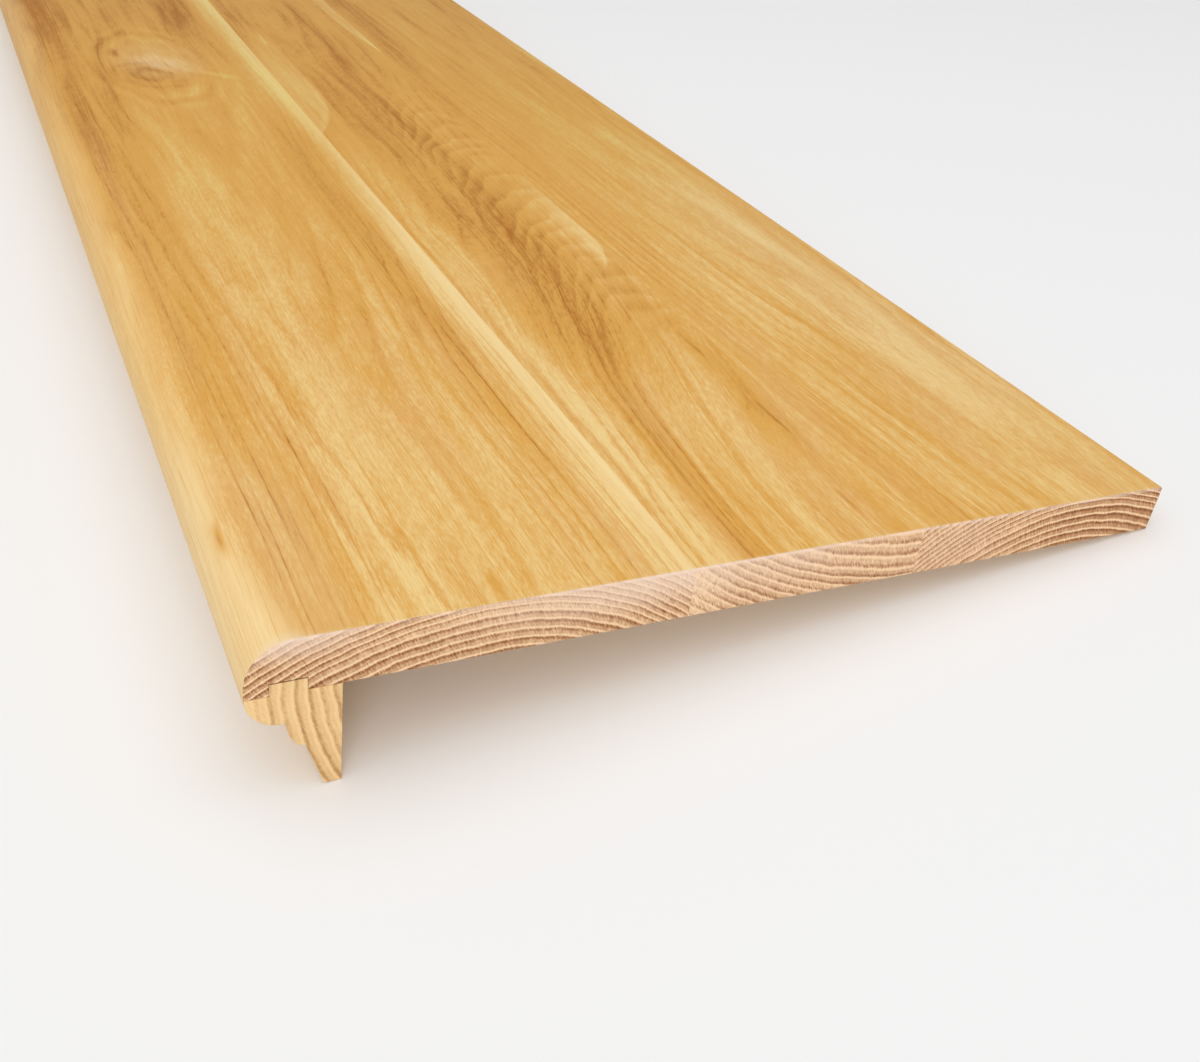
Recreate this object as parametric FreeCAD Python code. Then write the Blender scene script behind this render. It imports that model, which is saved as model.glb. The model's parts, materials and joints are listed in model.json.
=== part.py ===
# Hardwood stair tread with a built-up nosing, in millimetres.
# Three staves are glued edge to edge, the front one is rounded over, and a stepped moulding is let into a
# groove under the nose. The tread is drawn level, with Y running back from the nose and Z up from its
# underside, and is then tipped back to lie on its moulding and its rear edge, as it does on a floor.
import FreeCAD, Part

import math
import os

from FreeCAD import Placement, Rotation, Vector

# Tread panel
tread_length = 1066.8
tread_depth = 292.1
tread_thickness = 15.9
front_stave_width = 119.5
middle_stave_width = 76.5
nose_flat = 3.2
rear_arris = 0.5

# Nosing moulding, from the nose down: a quarter round, an ovolo and a bevelled foot
round_radius = 9.5
round_fillet = 0.5
ovolo_width = 4.6
ovolo_height = 8.0
bevel_run = 4.7
foot_height = 14.2
foot_width = 4.5
foot_ease = 0.8

# Tongue on the moulding, and the play that its groove leaves
tongue_setback = 6.0
tongue_width = 9.3
tongue_height = 3.6
groove_side_play = 0.1
groove_top_play = 0.35

# Sizes that follow from those above
nose_radius = tread_thickness - nose_flat
back_stave_width = tread_depth - front_stave_width - middle_stave_width
moulding_width = round_radius + round_fillet + ovolo_width + bevel_run + foot_width
moulding_drop = round_radius + ovolo_height + foot_height
lie_angle = math.degrees(math.atan2(moulding_drop, tread_depth - moulding_width))


def section_point(y, z):
    """A point of a cross-section, drawn at the tread's left end."""
    return Vector(-tread_length / 2, y, z)


def line(start, end):
    """A straight edge between two (y, z) points of a cross-section."""
    return Part.LineSegment(section_point(*start), section_point(*end)).toShape()


def polyline(*points):
    """Straight edges through (y, z) points of a cross-section, in order."""
    return [line(start, end) for start, end in zip(points, points[1:])]


def quarter_round(centre, radius, from_degrees):
    """A quarter of a circle; degrees run from +Y towards +Z about its (y, z) centre."""
    turns = [math.radians(from_degrees + step) for step in (0, 45, 90)]
    points = [(centre[0] + radius * math.cos(turn), centre[1] + radius * math.sin(turn)) for turn in turns]
    return Part.Arc(*[section_point(*point) for point in points]).toShape()


def quarter_ellipse(centre, half_width, half_height, from_degrees):
    """A quarter of an upright ellipse; degrees run from +Y towards +Z about its (y, z) centre."""
    middle = section_point(*centre)
    along_y = Vector(0, half_width, 0)
    along_z = Vector(0, 0, half_height)
    start = math.radians(from_degrees)
    if half_width >= half_height:
        whole = Part.Ellipse(middle + along_y, middle + along_z, middle)
    else:
        whole = Part.Ellipse(middle + along_z, middle - along_y, middle)
        start -= math.pi / 2
    return Part.ArcOfEllipse(whole, start, start + math.pi / 2).toShape()


def run_stock(edges):
    """Stock of the closed cross-section, run to the tread's length."""
    ordered = Part.__sortEdges__(edges)
    return Part.Face(Part.Wire(ordered)).extrude(Vector(tread_length, 0, 0))


def long_edge(solid, y, z):
    """The edge of the solid that runs the tread's length at (y, z)."""
    middle = Part.Vertex(Vector(0, y, z))
    return min(solid.Edges, key=lambda edge: edge.distToShape(middle)[0])


def plain_stave(front, width):
    """A square-edged stave whose front edge lies at the depth given."""
    return Part.makeBox(tread_length, width, tread_thickness, section_point(front, 0))


def make_front_stave():
    """The front stave, rounded over at the nose and ploughed underneath for the moulding's tongue."""
    sides = polyline(
        (0, nose_flat),
        (0, 0),
        (front_stave_width, 0),
        (front_stave_width, tread_thickness),
        (nose_radius, tread_thickness),
    )
    nose = quarter_round((nose_radius, nose_flat), nose_radius, 90)
    groove = Part.makeBox(
        tread_length,
        tongue_width + 2 * groove_side_play,
        tongue_height + groove_top_play,
        section_point(tongue_setback - groove_side_play, 0),
    )
    return run_stock(sides + [nose]).cut(groove)


def make_middle_stave():
    """The middle stave, square on all edges."""
    return plain_stave(front_stave_width, middle_stave_width)


def make_back_stave():
    """The back stave, with the arris of its top rear edge eased."""
    stave = plain_stave(front_stave_width + middle_stave_width, back_stave_width)
    return stave.makeFillet(rear_arris, [long_edge(stave, tread_depth, tread_thickness)])


def make_nosing_moulding():
    """The moulding, with its tongue up and its shoulders against the tread's underside."""
    tongue_back = tongue_setback + tongue_width
    round_back = round_radius + round_fillet
    ovolo_back = round_back + ovolo_width
    ovolo_bottom = -round_radius - ovolo_height
    foot_front = ovolo_back + bevel_run
    top = polyline(
        (0, 0),
        (tongue_setback, 0),
        (tongue_setback, tongue_height),
        (tongue_back, tongue_height),
        (tongue_back, 0),
        (moulding_width, 0),
    )
    back_and_foot = polyline(
        (moulding_width, 0),
        (moulding_width, -moulding_drop),
        (foot_front, -moulding_drop),
        (ovolo_back, ovolo_bottom),
    )
    ovolo = quarter_ellipse((ovolo_back, -round_radius), ovolo_width, ovolo_height, 180)
    fillet = line((round_back, -round_radius), (round_radius, -round_radius))
    round_under_nose = quarter_round((round_radius, 0), round_radius, 180)
    stock = run_stock(top + back_and_foot + [ovolo, fillet, round_under_nose])
    return stock.makeFillet(foot_ease, [long_edge(stock, foot_front, -moulding_drop)])


def lying_placement(pieces):
    """Tips the level pieces back on to the floor, with the origin under the middle of their box."""
    tip = Placement(Vector(0, 0, 0), Rotation(Vector(1, 0, 0), -lie_angle))
    box = Part.makeCompound([piece.transformed(tip.Matrix) for piece in pieces]).BoundBox
    to_origin = Vector(-box.Center.x, -box.Center.y, -box.ZMin)
    return Placement(to_origin, Rotation()) * tip


level_pieces = {
    "front_stave": make_front_stave(),
    "middle_stave": make_middle_stave(),
    "back_stave": make_back_stave(),
    "nosing_moulding": make_nosing_moulding(),
}
lying = lying_placement(level_pieces.values())

os.makedirs("parts", exist_ok=True)
for name, piece in level_pieces.items():
    piece.transformed(lying.Matrix).exportStep(f"parts/{name}.step")
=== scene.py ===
import json
import math

import bmesh
import bpy
from mathutils import Euler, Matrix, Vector


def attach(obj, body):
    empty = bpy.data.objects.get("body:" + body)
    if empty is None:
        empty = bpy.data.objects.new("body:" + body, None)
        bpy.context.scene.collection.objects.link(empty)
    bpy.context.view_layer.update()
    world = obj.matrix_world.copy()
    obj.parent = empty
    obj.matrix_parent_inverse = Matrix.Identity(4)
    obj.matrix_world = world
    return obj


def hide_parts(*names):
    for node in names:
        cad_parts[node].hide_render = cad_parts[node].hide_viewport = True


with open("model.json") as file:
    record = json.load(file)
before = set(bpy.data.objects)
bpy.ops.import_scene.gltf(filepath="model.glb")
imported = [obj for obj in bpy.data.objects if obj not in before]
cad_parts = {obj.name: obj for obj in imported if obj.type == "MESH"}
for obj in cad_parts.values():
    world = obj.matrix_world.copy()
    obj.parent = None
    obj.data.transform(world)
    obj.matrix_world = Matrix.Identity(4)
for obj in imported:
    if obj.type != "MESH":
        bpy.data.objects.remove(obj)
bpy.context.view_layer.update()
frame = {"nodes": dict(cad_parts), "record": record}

# Front stave
# A sawn hardwood stave, rounded over at the nose and ploughed underneath for the moulding's tongue.
# Its top and nose are sanded and clear-coated; its ends are raw from the saw, with a broken arris.

MM = 0.001
mounts = {mount["name"]: mount for mount in frame["record"]["mounts"]}
back = Vector(mounts["back_edge"]["axis"])
up = Vector(mounts["walking_surface"]["axis"])
along = Vector((1, 0, 0))


def reach(node, axis):
    """How far a CAD node reaches along an axis, as (least, most)."""
    places = [axis.dot(vertex.co) for vertex in frame["nodes"][node].data.vertices]
    return min(places), max(places)


nose_line = min(reach("front_stave", back)[0], reach("nosing_moulding", back)[0])
underside = reach("middle_stave", up)[0]
far_end, near_end = reach("front_stave", along)
corner = back * nose_line + up * underside + along * near_end
thickness = (reach("middle_stave", up)[1] - underside) / MM
length = (near_end - far_end) / MM


def stave_edges(node):
    """Where a stave starts and ends, in millimetres back from the nose."""
    least, most = reach(node, back)
    return (least - nose_line) / MM, (most - nose_line) / MM


def lay(u, v, w):
    """A point of the lying tread from millimetres back, up and along it, the last from its near end."""
    return corner + (back * u + up * v + along * w) * MM


def arc(centre, radii, from_degrees, to_degrees, steps):
    """Points of an elliptical arc in the section; degrees run from back to up."""
    points = []
    for i in range(steps + 1):
        turn = math.radians(from_degrees + (to_degrees - from_degrees) * i / steps)
        points.append((centre[0] + radii[0] * math.cos(turn), centre[1] + radii[1] * math.sin(turn)))
    return points


def inset(outline, faces, depth):
    """The outline shrunk by a depth, except at the faces that meet other wood."""
    nearly_in_line = 0.3
    shrunk = []
    for i, point in enumerate(outline):
        before, after = outline[i - 1], outline[(i + 1) % len(outline)]
        lines = []
        for start, end, face in ((before, point, faces[i - 1]), (point, after, faces[i])):
            run = Vector(end) - Vector(start)
            lines.append((Vector((-run.y, run.x)).normalized(), depth if face in ("finished", "raw") else 0))
        (first, first_depth), (second, second_depth) = lines
        cross = first.x * second.y - first.y * second.x
        if abs(cross) < nearly_in_line:
            step = (first + second).normalized() * max(first_depth, second_depth)
        else:
            step = Vector((
                (first_depth * second.y - second_depth * first.y) / cross,
                (first.x * second_depth - second.x * first_depth) / cross,
            ))
        shrunk.append((point[0] + step.x, point[1] + step.y))
    return shrunk


def run_piece(name, stretches, ease, materials):
    """A piece run to the tread's length from its section, with the arris of both ends eased.
    The section's stretches are (face, points) in order, with the wood on their left."""
    slots = {"finished": 0, "raw": 1, "glued": 1, "end": 2, "grooved": 3}
    smooth_up_to = math.radians(40)
    outline, faces = [], []
    for face, points in stretches:
        outline += points
        faces += [face] * len(points)
    stations = []
    for turn in (0, 30, 60, 90):
        rise = ease * (1 - math.cos(math.radians(turn)))
        stations.append((ease * (1 - math.sin(math.radians(turn))), rise))
    near = [(-step, rise) for step, rise in reversed(stations)]
    far = [(step - length, rise) for step, rise in stations]
    mesh = bmesh.new()
    rings = []
    for w, rise in near + far:
        rings.append([mesh.verts.new(lay(u, v, w)) for u, v in inset(outline, faces, rise)])
    for strip, (first, second) in enumerate(zip(rings, rings[1:])):
        for i, face in enumerate(faces):
            j = (i + 1) % len(faces)
            side = mesh.faces.new((first[i], second[i], second[j], first[j]))
            side.material_index = slots[face if strip == len(near) - 1 else "end"]
    for cap in (mesh.faces.new(rings[0]), mesh.faces.new(reversed(rings[-1]))):
        cap.material_index = slots["end"]
    bmesh.ops.recalc_face_normals(mesh, faces=mesh.faces)
    for face in mesh.faces:
        face.smooth = True
    data = bpy.data.meshes.new(name)
    mesh.to_mesh(data)
    mesh.free()
    data.set_sharp_from_angle(angle=smooth_up_to)
    for material in materials:
        data.materials.append(material)
    piece = bpy.data.objects.new(name, data)
    bpy.context.scene.collection.objects.link(piece)
    return piece


class Tone:
    """A socket of a material's nodes. Arithmetic on it adds Math nodes."""

    def __init__(self, tree, socket):
        self.tree = tree
        self.socket = socket

    def node(self, kind, settings=None, inputs=None, output=0):
        """Adds a node of that kind: its settings first, then the values or links of its sockets."""
        made = self.tree.nodes.new(kind)
        for name, value in (settings or {}).items():
            setattr(made, name, value)
        for name, value in (inputs or {}).items():
            if isinstance(value, Tone):
                self.tree.links.new(value.socket, made.inputs[name])
            else:
                made.inputs[name].default_value = value
        return Tone(self.tree, made.outputs[output])

    def math(self, operation, *others):
        """Adds a Math node that works on this and the others."""
        return self.node("ShaderNodeMath", {"operation": operation}, dict(enumerate((self, *others))))

    def __add__(self, other):
        return self.math("ADD", other)

    def __mul__(self, other):
        return self.math("MULTIPLY", other)

    def __sub__(self, other):
        return self.math("SUBTRACT", other)

    def __truediv__(self, other):
        return self.math("DIVIDE", other)

    def __pow__(self, other):
        return self.math("POWER", other)

    def __rsub__(self, other):
        return self.node("ShaderNodeMath", {"operation": "SUBTRACT"}, {0: other, 1: self})

    __radd__ = __add__
    __rmul__ = __mul__

    def ramp(self, low, high):
        """0 below low and 1 above high, smoothly; the other way round where low is the greater."""
        settings = {"interpolation_type": "SMOOTHSTEP"}
        return self.node("ShaderNodeMapRange", settings, {"Value": self, "From Min": low, "From Max": high})

    def hump(self, centre, width):
        """1 at the centre, falling off smoothly over the width on both sides."""
        return ((self - centre) / width).math("ABSOLUTE").ramp(1, 0)

    def mixed(self, first, second):
        """The first colour where this is 0 and the second where it is 1."""
        return self.node("ShaderNodeMix", {"data_type": "RGBA"}, {0: self, 6: first, 7: second}, 2)


def colour(red, green, blue):
    """A colour in linear light from its sRGB values of 0 to 255."""
    shares = [value / 255 for value in (red, green, blue)]
    linear = [share / 12.92 if share <= 0.04045 else ((share + 0.055) / 1.055) ** 2.4 for share in shares]
    return (*linear, 1)


def noise(place, sizes, seed, detail=1, roughness=0.5):
    """Smooth noise of 0 to 1 whose lumps measure about these millimetres back, up and along."""
    seed_steps = (7.3, 3.1, 5.7)
    u, v, w = (axis / size + seed * step for axis, size, step in zip(place, sizes, seed_steps))
    spot = u.node("ShaderNodeCombineXYZ", {}, {"X": u, "Y": v, "Z": w})
    inputs = {"Vector": spot, "Scale": 1, "Detail": detail, "Roughness": roughness}
    return u.node("ShaderNodeTexNoise", {}, inputs)


def new_material(name):
    """A new material, its shader, and a point's millimetres back, up and along the tread as tones."""
    material = bpy.data.materials.new(name)
    material.use_nodes = True
    tree = material.node_tree
    shader = tree.nodes["Principled BSDF"]
    point = Tone(tree, tree.nodes.new("ShaderNodeTexCoord").outputs["Object"])
    offset = point.node("ShaderNodeVectorMath", {"operation": "SUBTRACT"}, {0: point, 1: corner})
    place = []
    for axis in (back, up, along):
        settings = {"operation": "DOT_PRODUCT"}
        place.append(offset.node("ShaderNodeVectorMath", settings, {0: offset, 1: axis}, "Value") / MM)
    return material, shader, place


def finish_wood(shader, shade, roughness, gloss, height, relief, depth):
    """Gives wood its shade, roughness and gloss, and a fine relief of that share and depth."""
    shader.inputs["Roughness"].default_value = roughness
    shader.inputs["Specular IOR Level"].default_value = gloss
    bump = height.node("ShaderNodeBump", {}, {"Height": height, "Strength": relief, "Distance": depth * MM})
    shade.tree.links.new(shade.socket, shader.inputs["Base Color"])
    shade.tree.links.new(bump.socket, shader.inputs["Normal"])


def growth(place, log):
    """Growth rings of a log: how many out from their start, and the millimetres along a ring and out from the
    pith. A log is (pith, flanks, rings, seed). The pith is its millimetres back and up, and its slope along
    the tread. The flanks stretch the rings to its front and back. The rings are the millimetres from the pith
    to their start, how many there are a millimetre, the millimetres on to where they tighten, and how many
    more there are a millimetre from there."""
    pith, flanks, rings, seed = log
    wander_back, wander_up, ripple_rings = 18, 6, 0.55
    u, v, w = place
    wander = (noise(place, (50, 50, 260), seed) - 0.5) * w.ramp(0, -160)
    ripple = noise(place, (8, 8, 90), seed + 1, 2) - 0.5
    across = u + wander * wander_back - pith[0]
    across = across.math("MINIMUM", 0) * flanks[0] + across.math("MAXIMUM", 0) * flanks[1]
    rise = v + wander * wander_up + w * pith[2] - pith[1]
    out = (across * across + rise * rise).math("SQRT")
    past = out - rings[0]
    count = past * rings[1] + (past - rings[2]).math("MAXIMUM", 0) * rings[3] + ripple * ripple_rings
    turn = across.math("ARCTAN2", rise) * rings[0]
    return count, turn, out


def end_grain(name, log, tones, figure, coarse=1):
    """Raw sawn end: each ring darkens outward from a cream line to a brown one, under rays and saw strokes.
    The figure gives the end's own contrast and its darker and paler shares, 0 where there is none; the paler
    share also holds the painted highlight under the top arris.
    Coarse scales the pores, rays and strokes."""
    saw_cosine, saw_sine = 0.91, 0.42
    ring_jitter = 0.24
    raw_roughness, raw_gloss, relief, relief_depth = 0.85, 0.15, 0.4, 0.14
    seed = log[-1]
    material, shader, place = new_material(name)
    u, v, w = place
    count, turn, out = growth(place, log)
    pores = noise(place, (0.5, 0.5, 9), seed + 2) - 0.5
    count = count + pores * (ring_jitter * coarse)
    share = count.math("FRACT")
    ring = count.node("ShaderNodeTexWhiteNoise", {"noise_dimensions": "1D"}, {"W": count.math("FLOOR")})
    contrast, darker, paler = figure(place)
    middle = 0.42 + darker * 0.3
    early = share.ramp(0.04, 0.22) * middle + share.ramp(0.42, 0.7) * (1 - middle)
    early = early * share.ramp(0.95, 0.76)
    patch = noise(place, (14, 8, 60), seed + 3)
    across_saw = (u * saw_cosine + v * saw_sine, u * saw_sine - v * saw_cosine, w)
    strokes = noise(across_saw, (0.3, 1.8, 9), seed + 4) - 0.5
    rays = noise((turn, out, w), (0.6, 7, 9), seed + 5) - 0.5
    hatch = (strokes * 1.5 + rays * 0.5 + pores * 0.5) * coarse
    dark = early * contrast * (0.75 + ring * 0.35 + patch * 0.3 + darker)
    dark = dark - hatch * (0.4 + early * 1.1)
    shade = dark.ramp(-0.1, 0.38).mixed(tones["cream"], tones["tan"])
    shade = dark.ramp(0.25, 0.95).mixed(shade, tones["brown"])
    shade = dark.ramp(0.8, 1.7).mixed(shade, tones["deep"])
    if paler:
        shade = (paler * (0.6 + patch * 0.8)).math("MINIMUM", 0.85).mixed(shade, tones["haze"])
    finish_wood(shader, shade, raw_roughness, raw_gloss, hatch * 1.5 - early, relief, relief_depth)
    return material


def long_grain(name, log, tones, figure, roughness):
    """Planed wood along the grain. The figure bends the grain and paints the piece's own streaks: it gives
    the bent place, the tone from pale to brown, and the shares of sapwood and of scuffed wood, 0 where there
    is none. Painted sheen and highlights ride on these two shares and take the sapwood and scuff colours."""
    gloss, relief, relief_depth = 0.12, 0.25, 0.05
    seed = log[-1]
    material, shader, place = new_material(name)
    flow, tone, pale, wear_and_sheen = figure(place, seed)
    u, v, w = flow
    waver = noise(flow, (11, 11, 50), seed + 3) - 0.5
    fibre = (u + waver * 2, v, w)
    broad = noise(fibre, (8, 8, 95), seed + 4, 3, 0.6) - 0.5
    stripes = noise(fibre, (2, 2, 100), seed + 5, 4, 0.7) - 0.5
    fine = noise(fibre, (0.42, 0.42, 3.4), seed + 6, 2, 0.6) - 0.5
    mottle = noise((u + w * 0.4, v, w), (4, 4, 10), seed + 7, 2) - 0.5
    lines = noise(fibre, (0.5, 0.5, 110), seed + 8).ramp(0.56, 0.7)
    lively = noise(fibre, (20, 20, 110), seed + 7).ramp(0.36, 0.64)
    share = (growth(fibre, log)[0] + broad * 1.3).math("FRACT")
    early = share.ramp(0.1, 0.7) * share.ramp(0.98, 0.8)
    edge = share.ramp(0.6, 0.76) * share.ramp(0.9, 0.78) * (fine + 0.4) * lively
    pores = noise(flow, (0.34, 0.34, 5), seed + 8).ramp(0.58, 0.72) * (0.3 + early * 0.5)
    drawn = (early - 0.4) * (0.07 + lively * 0.15) + edge * 0.45 + lines * (0.18 + tone * 0.25)
    drawn = (drawn + fine * 0.95 + pores * 0.25) * (1 - w.ramp(-90, -430) * 0.45)
    broad = broad * (0.62 + w.ramp(-250, -500) * 0.5) + mottle * 0.25
    tone = tone + drawn + broad + stripes * (0.56 + tone * 0.2)
    blush = noise(fibre, (11, 11, 70), seed + 9).ramp(0.42, 0.66) * w.ramp(-360, -20) * 0.6
    # Far along the tread the pale tone turns olive: a painted colour shift that offsets the grazing sheen
    # there.
    pale_wood = w.ramp(-150, -480).mixed(tones["honey"], tones["olive"])
    warm_wood = blush.mixed(tones["amber"], tones["rosy"])
    shade = tone.ramp(-0.35, 0.55).mixed(pale_wood, warm_wood)
    shade = tone.ramp(0.45, 1.45).mixed(shade, tones["brown"])
    if pale:
        pale = (pale * (1 + fine * 1.6 + stripes * 2.4 - lines * 0.5)).math("MAXIMUM", 0)
        shade = pale.math("MINIMUM", 1).mixed(shade, tones["sap_and_sheen"])
    if wear_and_sheen:
        shade = wear_and_sheen.mixed(shade, tones["scuff_and_sheen"])
    height = noise(place, (0.5, 0.5, 8), seed + 2)
    finish_wood(shader, shade, roughness, gloss, height, relief, relief_depth)
    return material


def plain_wood(name, tone, roughness):
    """Wood of one tone, for faces that only show through a gap."""
    material, shader = new_material(name)[:2]
    shader.inputs["Base Color"].default_value = tone
    shader.inputs["Roughness"].default_value = roughness
    return material


def bent(place, lumps, seed, spread):
    """How far the grain strays back or forth, within a spread of millimetres and in lumps of these sizes."""
    return (noise(place, lumps, seed + 9) - 0.5) * spread


def plain_figure(place, seed):
    """Even wood without streaks of its own."""
    u, v, w = place
    return (u + bent(place, (60, 60, 200), seed, 9), v, w), 0.2, 0, 0


def streaks(place, *runs):
    """Streaks along the grain, summed. Each is (middle, half width, start, stop, fade at both, strength)."""
    u, w = place[0], place[2]
    total = 0
    for middle, half, start, stop, fade, strength in runs:
        window = w.ramp(start - fade, start + fade) * w.ramp(stop + fade, stop - fade)
        total = u.hump(middle, half) * window * strength + total
    return total


def threads(place, half, middles):
    """Thin lines along the grain, of this half width and at these millimetres back from the nose."""
    return sum(place[0].hump(middle, half) for middle in middles)


# Painted shade: the tops are darkened away from the near end, where the light falls off.
def tone_with_painted_falloff(w, near, middle, far):
    """The tone of the near end, and how much darker the wood is painted half-way and far along the tread:
    painted shade, as the light falls off away from the near end.
    """
    return near + w.ramp(-20, -420) * middle + w.ramp(-300, -640) * far


# Paler along the near end's top arris: partly sanded wear, partly painted highlight.
def top_arris_wear_and_highlight(w):
    """The share along the top arris of the near end that is paler: sanded wear and painted highlight."""
    return w.ramp(-1.3, -0.2) * 0.25


# Paler just under each end's top arris: the finish's pale edge, partly painted highlight.
def end_arris_haze_and_highlight(v, most):
    """The share of an end just below its top arris that is paler: the pale edge where the finish meets the
    raw end, and painted highlight.
    """
    return v.ramp(14.6, 15.7) * most


def oval(place, centre, radii, lean=0):
    """How far out a point of the top lies in an oval, squared: 0 at its centre and 1 on its rim.
    The lean is the millimetres that the oval moves back for each one along."""
    u = place[0] - centre[0]
    w = place[2] - centre[1]
    if lean:
        u = u - w * lean
    return (u / radii[0]) ** 2 + (w / radii[1]) ** 2


knot_back = 62
knot_along = -492


def knot_marks(place, seed):
    """Tone of the knot's eye, of the grain that swirls round it and of a pale ridge that runs on from it."""
    u, w = place[0], place[2]
    eye = oval(place, (58, -477), (27, 33))
    arcs = (eye.math("SQRT") * 15 + noise(place, (10, 10, 14), seed + 10, 2) * 7).math("SINE")
    swirl = oval(place, (61, -494), (31, 74)).math("SQRT")
    turns = (swirl * 19 + noise(place, (16, 16, 40), seed + 13, 2) * 7).math("SINE")
    off_middle = (w + 494).math("ABSOLUTE").ramp(10, 45)
    ridge = (w + 474 - (u - 97) * 0.7).hump(0, 8) * u.hump(89, 20)
    marks = eye.ramp(1, 0) * (0.34 + arcs * 0.15) + turns * swirl.hump(0.8, 0.5) * off_middle * 0.17
    return marks - ridge * 0.34


def knot_painted_sheen(place, seed):
    """Share of the painted sheen that lies over the knot as a pale haze in wisps along the grain."""
    u, v, w = place
    wisps = noise((u - knot_back - w * 0.2, v, w), (2.6, 2.6, 22), seed + 11, 3, 0.65).ramp(0.3, 0.7)
    ragged = (noise(place, (9, 9, 13), seed + 12, 2) - 0.5) * 0.78
    core = oval(place, (67, -500), (15, 20), 0.45) + ragged
    veil = oval(place, (65, -506), (27, 42)) + ragged
    return core.ramp(1.4, -0.5) * (0.3 + wisps * 0.7) + veil.ramp(1.3, -0.2) * (0.14 + wisps * 0.2)


def front_figure(place, seed):
    """Sapwood along the nose and the joint, brown streaks beside both, grain that swells round a knot, and a
    painted sheen over the knot.
    """
    u, v, w = place
    bend = bent(place, (60, 60, 200), seed, 9) * w.ramp(0, -120)
    knot = oval(place, (knot_back, knot_along), (32, 80)).ramp(1, 0)
    flow = (u - (u - knot_back) * knot * 0.7 + bend, v, w)
    # The tone darkens far along the tread as painted shade.
    tone = tone_with_painted_falloff(w, 0.14, 0.24, 0.3) + streaks(
        flow,
        (15, 15, -1200, -360, 80, 0.5),
        (12, 8, -540, -400, 30, -0.26),
        (14.5, 5, -420, -120, 60, 0.14),
        (17, 8, -400, -220, 50, 0.12),
        (20, 16, -350, 60, 70, 0.21),
        (28, 10, -420, -90, 50, 0.1),
        (36, 6, -180, -50, 30, 0.12),
        (65, 2.5, -14, -3, 5, 0.4),
        (42, 15, -570, -450, 40, 0.16),
        (32, 12, -520, -350, 50, 0.15),
        (32, 11, -360, -180, 50, 0.09),
        (48, 19, -450, 60, 60, -0.15),
        (74, 9, -330, -40, 50, 0.12),
        (86, 11, -490, -350, 40, -0.16),
        (86, 10, -140, 40, 40, -0.08),
        (101, 12, -390, -150, 50, 0.36),
        (103, 9, -180, 60, 40, 0.2),
        (106, 9, -310, -205, 30, 0.18),
        (100, 11, -500, -430, 25, -0.18),
        (80, 12, -560, -512, 20, -0.12),
        (93, 19, -1200, -575, 30, 0.36),
        (62, 18, -1200, -570, 40, 0.16),
    )
    short = threads(flow, 0.55, (17.2, 24.4, 29.6, 36.3, 88.1, 98.7, 106.9)) * w.ramp(-78, -52)
    long = threads(flow, 0.5, (14.8, 21.4, 33.1, 94.8, 103.6)) * w.ramp(-190, -130) * w.ramp(-6, -26)
    at_joint = threads(place, 0.45, (109.6, 112.1, 114.3)) * w.ramp(-230, -150) * w.ramp(-4, -20)
    tone = tone + short * 0.34 + long * 0.38 + at_joint * 0.342
    dot = streaks(place, (45, 4, -527, -511, 6, 1))
    tick = streaks(place, (5, 1.6, -55, -43, 5, 1))
    # The haze is a painted sheen over the knot: it lightens the tone and is mixed towards the sapwood and
    # scuff colours.
    haze = knot_painted_sheen(place, seed) * (1 - dot * 0.8)
    tone = tone + knot_marks(place, seed) - haze * 0.22 + dot * 0.5 + tick * 0.5
    strip = (u + bend * 0.15 - w.hump(-325, 150) * 5).ramp(104, 118)
    tone = tone - strip * (0.42 + w.ramp(-300, -640) * 0.4 - w.ramp(-60, -10) * 0.12)
    strip_edge = u.ramp(112, 118.5) * (0.14 + w.ramp(-420, -100) * 0.24) * (1 - w.ramp(-45, -8) * 0.6)
    nose = u + bend * 0.7 + w.hump(-52, 26) * 3 - w.ramp(-26, -6) * 3
    nose_share = 0.2 + w.ramp(-520, -300) * 0.1 + w.ramp(-150, -40) * 0.24 - w.hump(-125, 60) * 0.08
    sapwood = nose.ramp(12.5, 4) * nose_share + strip * 0.14 + strip_edge
    pale = sapwood * (1 - tick * 0.8) + haze * 0.33
    # The scuffed share holds the knot's painted sheen, the paler near-end arris (sanded wear and painted
    # highlight) and whitish bands along the nose and near the end.
    wear_and_sheen = haze * 0.38 + top_arris_wear_and_highlight(w) + w.ramp(-4.5, -0.5) * u.hump(10, 9) * 0.5
    wear_and_sheen = wear_and_sheen + u.ramp(13, 4) * (0.04 + w.ramp(-150, -40) * 0.12)
    wear_and_sheen = wear_and_sheen + u.hump(15, 8) * w.ramp(-440, -340) * w.ramp(-110, -170) * 0.06
    wear_and_sheen = wear_and_sheen + u.hump(21, 13) * w.ramp(-120, -35) * 0.17 + u.hump(105, 6) * w.ramp(-60, -10) * 0.15
    return flow, tone, pale, wear_and_sheen * (1 - tick)


def front_end_figure(place):
    """Browner towards the bottom, and hazed paler towards the top at the nose and towards the joint, with
    painted highlight under the top arris.
    """
    u, v = place[:2]
    contrast = 0.95 - v.ramp(3, 13) * u.ramp(30, 80) * 0.2
    haze = v.ramp(8, 15) * u.ramp(38, 6) * 0.6 + v.ramp(2, 15) * u.ramp(40, 110) * 0.6
    return contrast, v.ramp(11, 1) * u.ramp(110, 40) * 0.22, haze + end_arris_haze_and_highlight(v, 0.28)


front_stop = stave_edges("front_stave")[1]
nose_flat = 3.2
nose_radius = thickness - nose_flat
groove = (5.9, 15.4)
groove_depth = 3.95
stave_ease = 0.35
coated_roughness = 0.5
bare_roughness = 0.75
glue_roughness = 0.8
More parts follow.
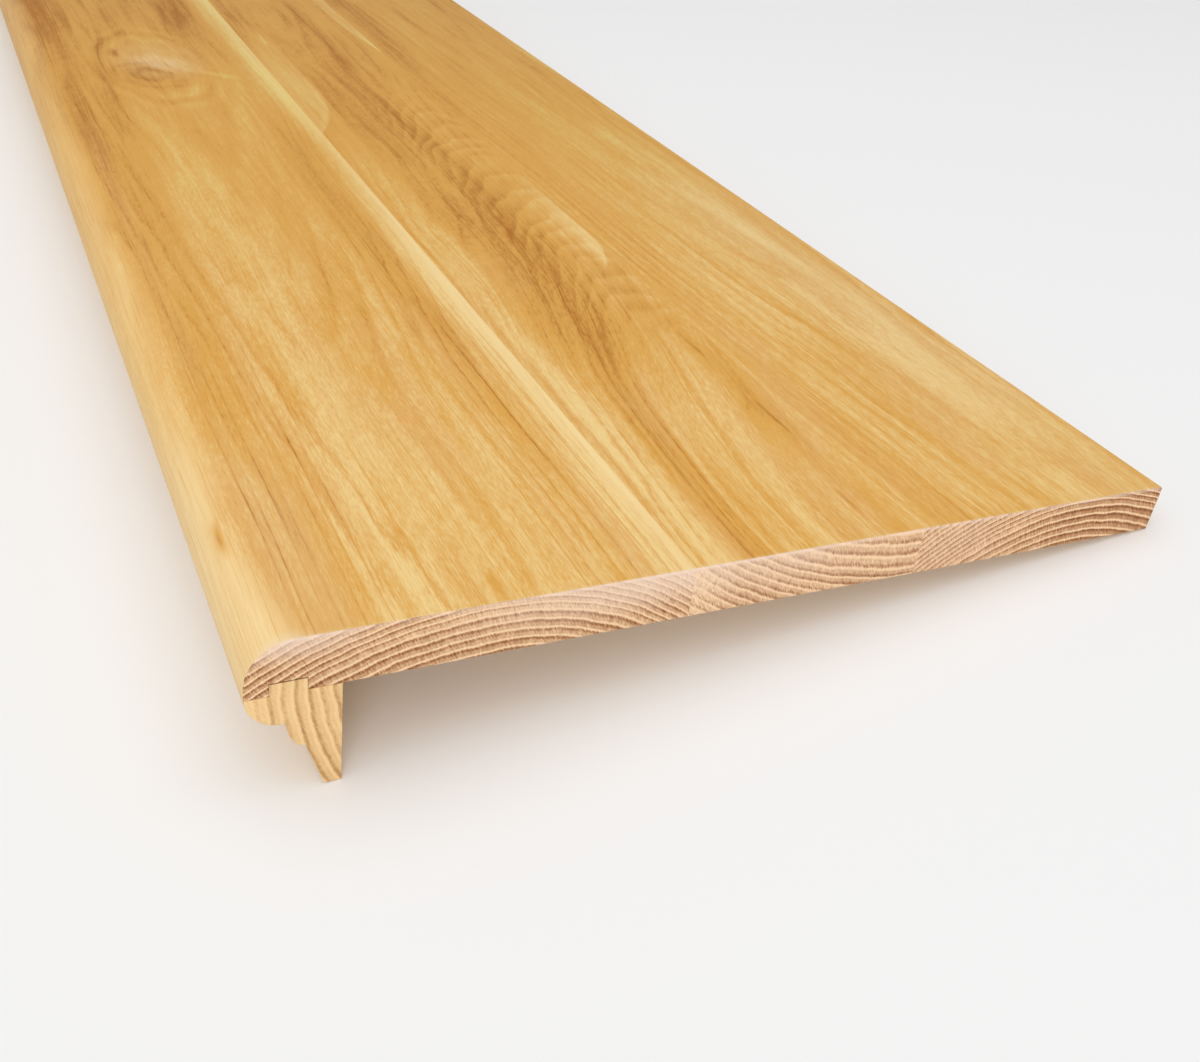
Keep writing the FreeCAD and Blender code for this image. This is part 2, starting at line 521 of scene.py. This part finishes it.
# Dark brown for the groove and the tongue: glue-soaked wood, with painted shadow of the narrow gap.
glue_and_shadow_brown = colour(128, 86, 50)
stave_tones = {
    "sap_and_sheen": colour(247, 220, 164),
    "honey": colour(238, 206, 140),
    "olive": colour(231, 203, 120),
    "amber": colour(219, 164, 79),
    "brown": colour(176, 112, 38),
    "rosy": colour(220, 168, 99),
    "scuff_and_sheen": colour(236, 212, 172),
}
stave_end_tones = {
    "cream": colour(239, 203, 162),
    "tan": colour(213, 173, 133),
    "brown": colour(175, 127, 88),
    "deep": colour(131, 83, 50),
    "haze": colour(234, 209, 190),
}
front_log = ((64.4, -71.8, 0.02), (0.86, 1.03), (73, 0.36, 12.5, 0.14), 1)
front_materials = [
    long_grain("front_stave_top", front_log, stave_tones, front_figure, coated_roughness),
    long_grain("front_stave_underside", front_log, stave_tones, plain_figure, bare_roughness),
    end_grain("front_stave_end", front_log, stave_end_tones, front_end_figure),
    plain_wood("front_stave_groove", glue_and_shadow_brown, glue_roughness),
]
nose_round = arc((nose_radius, nose_flat), (nose_radius, nose_radius), 90, 180, 20)
front_section = [
    ("finished", [(front_stop, thickness)] + nose_round),
    ("raw", [(0, 0)]),
    ("grooved", [(groove[0], 0), (groove[0], groove_depth), (groove[1], groove_depth)]),
    ("raw", [(groove[1], 0)]),
    ("glued", [(front_stop, 0)]),
]
front_stave = run_piece("front_stave_wood", front_section, stave_ease, front_materials)
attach(front_stave, "root")
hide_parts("front_stave")

# Middle stave
# The narrow stave between the two glue joints, square on all its edges.
# Its top is sanded and clear-coated with its neighbours.


def tapered(place, start, stop, wide, tip):
    """How far a point lies past an edge that runs straight at one depth and then curves over to a tip."""
    u, w = place[0], place[2]
    curve = ((w - start) / (stop - start)).math("MAXIMUM", 0) ** 2.5
    return u - wide - curve * (tip - wide)


def middle_figure(place, seed):
    """A dark heart that swings to the front joint near the end, with curly grain and slivers of sapwood."""
    u, v, w = place
    bend = bent(place, (40, 40, 150), seed, 8) * w.ramp(0, -100)
    swing = (0.45 + u.ramp(120, 172) * 0.55) * w.ramp(-10, -225) * 30
    flow = (u + bend - swing, v, w)
    # The tone darkens far along the tread as painted shade.
    tone = tone_with_painted_falloff(w, 0.24, 0.2, 0.1) + streaks(
        flow,
        (133, 20, -640, -140, 50, 0.22),
        (124, 9, -520, -330, 50, 0.14),
        (136.5, 8, -600, -140, 50, 0.12),
        (127, 11, -300, -120, 40, 0.16),
        (139, 8, -160, 60, 25, 0.28),
        (134.5, 1.4, -120, -20, 25, 0.3),
        (137.5, 1.3, -150, 60, 25, 0.4),
        (140, 1.6, -140, -10, 25, 0.35),
        (143.5, 1.3, -110, 40, 30, 0.3),
    ) + streaks(
        place,
        (128, 12, -350, 60, 40, -0.18),
        (122, 2.2, -170, -10, 40, 0.24),
        (126, 8, -150, 60, 40, -0.22),
        (160, 24, -270, -110, 40, 0.12),
        (165, 18, -120, 60, 30, -0.12),
        (184, 10, -215, -155, 15, 0.2),
        (172, 17, -330, -130, 40, 0.09),
        (187, 7, -160, 60, 20, 0.24),
        (190, 9, -1200, -560, 30, 0.18),
        (127, 8, -1200, -590, 20, 0.2),
        (187, 1.2, -135, -117, 6, 0.4),
        (187.5, 1, -82, -60, 6, 0.45),
        (182, 1.5, -25, -12, 5, 0.35),
    )
    past = tapered(place, -455, -378, 136, 120.5)
    tongue = (past.ramp(1, -0.8) + past.hump(-1.5, 3.5) * w.ramp(-490, -430) * 0.35) * w.ramp(-560, -470)
    far_sliver = tapered(place, -650, -528, 188.5, 196).ramp(-0.8, 0.8) * w.ramp(-526, -530)
    near_sliver = u.ramp(184, 193) * tapered(place, -245, -202, 197, 189).ramp(0.6, -1) * w.ramp(-330, -235)
    small_sliver = streaks(place, (132, 2.2, -565, -541, 8, 1))
    slivers = tongue * 0.56 + far_sliver * 0.9 + near_sliver + small_sliver * 0.7
    jitter = noise(place, (30, 30, 40), seed + 10) * 44 + noise(place, (5, 5, 14), seed + 12) * 8
    curl = ((w - (u - 187) ** 2 * 0.06 + jitter) / 18).math("FRACT")
    curly = u.ramp(146, 170) * u.ramp(199, 190) * w.ramp(-480, -380) * w.ramp(-110, -180)
    curls = (curl.ramp(0, 0.8) * curl.ramp(1, 0.84) - 0.4) * curly * (0.27 - near_sliver * 0.17)
    return flow, tone + curls - slivers * 0.42, slivers * 0.15, top_arris_wear_and_highlight(w)


def middle_end_figure(place):
    """Pale beside the front joint, and hazed along the top, with painted highlight under the top arris."""
    u, v = place[:2]
    contrast = 0.8 - u.ramp(137, 121) * 0.5
    haze = 0.05 + v.ramp(2, 15) * u.ramp(190, 140) * 0.3 + end_arris_haze_and_highlight(v, 0.4)
    return contrast, v.ramp(8, 1) * 0.1, haze


middle_start, middle_stop = stave_edges("middle_stave")
middle_log = ((197, 113, 0.02), (1, 1), (101.8, 0.25, 9, 0.13), 11)
middle_materials = [
    long_grain("middle_stave_top", middle_log, stave_tones, middle_figure, coated_roughness),
    long_grain("middle_stave_underside", middle_log, stave_tones, plain_figure, bare_roughness),
    end_grain("middle_stave_end", middle_log, stave_end_tones, middle_end_figure),
]
middle_section = [
    ("finished", [(middle_stop, thickness)]),
    ("glued", [(middle_start, thickness)]),
    ("raw", [(middle_start, 0)]),
    ("glued", [(middle_stop, 0)]),
]
middle_stave = run_piece("middle_stave_wood", middle_section, stave_ease, middle_materials)
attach(middle_stave, "root")
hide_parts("middle_stave")

# Back stave
# The rear stave, with the arris of its top rear edge eased by sanding.
# It is the plainest of the three, straight-grained with soft stripes.


def back_figure(place, seed):
    """Fine amber stripes along the joint, and soft broad bands, paler towards the rear edge."""
    u, v, w = place
    flow = (u + bent(place, (50, 50, 200), seed, 9) * w.ramp(0, -100), v, w)
    # The tone darkens far along the tread as painted shade.
    tone = tone_with_painted_falloff(w, 0.2, 0.16, 0.18) + streaks(
        flow,
        (206, 15, -1200, 60, 50, 0.14),
        (205, 13, -1200, -420, 60, 0.2),
        (212, 3.5, -110, 60, 20, 0.16),
        (233, 5, -110, 60, 20, 0.12),
        (246, 12, -480, -190, 60, -0.2),
        (230, 12, -300, -110, 40, -0.18),
        (289, 4, -560, -490, 20, -0.3),
        (268, 25, -380, 60, 60, -0.2),
        (270, 9, -32, 20, 12, 0.2),
        (276, 8, -690, -610, 15, 0.24),
    )
    return flow, tone, 0, top_arris_wear_and_highlight(w) + streaks(place, (270, 28, -280, -80, 50, 0.16))


def back_end_figure(place):
    """Browner towards the rear edge, with painted highlight under the top arris."""
    u, v = place[:2]
    rear = u.ramp(225, 262)
    return 0.9 + rear * 0.1, rear * 0.34, u.ramp(235, 215) * 0.1 + end_arris_haze_and_highlight(v, 0.4)


back_start, back_stop = stave_edges("back_stave")
rear_arris = 0.5
back_log = ((260, -71, 0.02), (0.95, 0.99), (73, 0.35, 13, 0.19), 21)
back_materials = [
    long_grain("back_stave_top", back_log, stave_tones, back_figure, coated_roughness),
    long_grain("back_stave_underside", back_log, stave_tones, plain_figure, bare_roughness),
    end_grain("back_stave_end", back_log, stave_end_tones, back_end_figure),
]
rear_round = arc((back_stop - rear_arris, thickness - rear_arris), (rear_arris, rear_arris), 0, 90, 4)
back_section = [
    ("finished", rear_round),
    ("glued", [(back_start, thickness)]),
    ("raw", [(back_start, 0), (back_stop, 0)]),
]
back_stave = run_piece("back_stave_wood", back_section, stave_ease, back_materials)
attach(back_stave, "root")
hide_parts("back_stave")

# Nosing moulding
# A stepped moulding of paler wood under the nose, run in one piece: a quarter round, an ovolo and a bevelled
# foot. The tongue along its top is glued into the front stave's groove.


def moulding_end_figure(place):
    """Paler than the staves' ends, and plainer in front of the tongue."""
    return 0.3 + place[0].ramp(3.5, 7) * 0.55, -0.35, 0


round_radius = 9.5
round_fillet = 0.5
ovolo = (4.6, 8)
bevel_run = 4.7
foot_ease = 0.8
tongue = (6, 15.3)
tongue_height = 3.6
moulding_ease = 0.2
moulding_drop = (underside - reach("nosing_moulding", up)[0]) / MM
moulding_width = (reach("nosing_moulding", back)[1] - nose_line) / MM
ovolo_back = round_radius + round_fillet + ovolo[0]
foot_front = ovolo_back + bevel_run
bevel_drop = moulding_drop - round_radius - ovolo[1]
bevel_turn = math.degrees(math.atan2(bevel_drop, bevel_run))
ease_from_corner = foot_ease * math.tan(math.radians(bevel_turn / 2))
foot_centre = (foot_front + ease_from_corner, foot_ease - moulding_drop)
moulding_tones = {
    "sap_and_sheen": colour(248, 222, 172),
    "honey": colour(241, 211, 158),
    "olive": colour(241, 211, 156),
    "amber": colour(224, 182, 120),
    "brown": colour(196, 150, 92),
    "rosy": colour(232, 196, 142),
    "scuff_and_sheen": colour(240, 220, 186),
}
moulding_end_tones = {
    "cream": colour(236, 200, 146),
    "tan": colour(217, 178, 125),
    "brown": colour(178, 134, 84),
    "deep": colour(150, 106, 62),
    "haze": colour(240, 210, 162),
}
moulding_log = ((88, 2.8, 0), (1, 1), (63.75, 0.3125, 100, 0), 31)
moulding_coarse = 0.4
moulding_materials = [
    long_grain("moulding_face", moulding_log, moulding_tones, plain_figure, coated_roughness),
    long_grain("moulding_back", moulding_log, moulding_tones, plain_figure, bare_roughness),
    end_grain("moulding_end", moulding_log, moulding_end_tones, moulding_end_figure, moulding_coarse),
    plain_wood("moulding_tongue", glue_and_shadow_brown, glue_roughness),
]
moulding_section = [
    ("raw", [(moulding_width, 0)]),
    ("grooved", [(tongue[1], 0), (tongue[1], tongue_height), (tongue[0], tongue_height)]),
    ("raw", [(tongue[0], 0)]),
    ("finished", arc((round_radius, 0), (round_radius, round_radius), 180, 270, 14)),
    ("finished", arc((ovolo_back, -round_radius), ovolo, 180, 270, 10)),
    ("finished", arc(foot_centre, (foot_ease, foot_ease), 270 - bevel_turn, 270, 5)),
    ("raw", [(moulding_width, -moulding_drop)]),
]
moulding = run_piece("nosing_moulding_wood", moulding_section, moulding_ease, moulding_materials)
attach(moulding, "root")
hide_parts("nosing_moulding")

# Floor
# A plain pale floor that runs well past the tread on all sides.
# It is part of the stage and not of the tread.

floor_half = 30
floor_white = (0.9, 0.9, 0.9, 1)
floor_roughness = 0.9
floor_signs = ((-1, -1), (1, -1), (1, 1), (-1, 1))
floor_data = bpy.data.meshes.new("floor")
floor_data.from_pydata([(x * floor_half, y * floor_half, 0) for x, y in floor_signs], [], [(0, 1, 2, 3)])
floor = bpy.data.objects.new("floor", floor_data)
bpy.context.scene.collection.objects.link(floor)
floor_material = bpy.data.materials.new("floor")
floor_material.use_nodes = True
floor_shader = floor_material.node_tree.nodes["Principled BSDF"]
floor_shader.inputs["Base Color"].default_value = floor_white
floor_shader.inputs["Roughness"].default_value = floor_roughness
floor_data.materials.append(floor_material)

# Light
# Soft studio light: a dim even surround, one large panel overhead, and a broad low light that faces the
# tread's near end.

surround_strength = 0.4
overhead_watts = 28.5
overhead_size = 3
facing_strength = 1.27
facing_spread = 40
world = bpy.data.worlds.new("studio")
world.use_nodes = True
surround = world.node_tree.nodes["Background"]
surround.inputs["Color"].default_value = (1, 1, 1, 1)
surround.inputs["Strength"].default_value = surround_strength
bpy.context.scene.world = world


def soft_light(name, kind, strength, location, target):
    """A light that faces its target."""
    data = bpy.data.lights.new(name, kind)
    data.energy = strength
    light = bpy.data.objects.new(name, data)
    light.location = location
    light.rotation_euler = (light.location - Vector(target)).to_track_quat("Z", "Y").to_euler()
    bpy.context.scene.collection.objects.link(light)
    return data


overhead = soft_light("overhead", "AREA", overhead_watts, (0.8, -0.2, 1.85), (0.65, 0, 0))
overhead.size = overhead_size
facing = soft_light("facing", "SUN", facing_strength, (3.2, -0.8, 1.18), (0.53, 0, 0.03))
facing.angle = math.radians(facing_spread)
bpy.context.scene.view_settings.view_transform = "Standard"

# Camera
# It stands in front of the nose, off the near end, and looks down along the tread.

camera_place = (0.7696, -0.1669, 0.2447)
camera_turn = (54.33, -0.75, 65.02)
camera_data = bpy.data.cameras.new("camera")
camera_data.sensor_width = 36
camera_data.lens = 38.86
camera_data.clip_start = 0.01
camera = bpy.data.objects.new("camera", camera_data)
camera.location = camera_place
camera.rotation_euler = Euler([math.radians(angle) for angle in camera_turn])
bpy.context.scene.collection.objects.link(camera)
bpy.context.scene.camera = camera
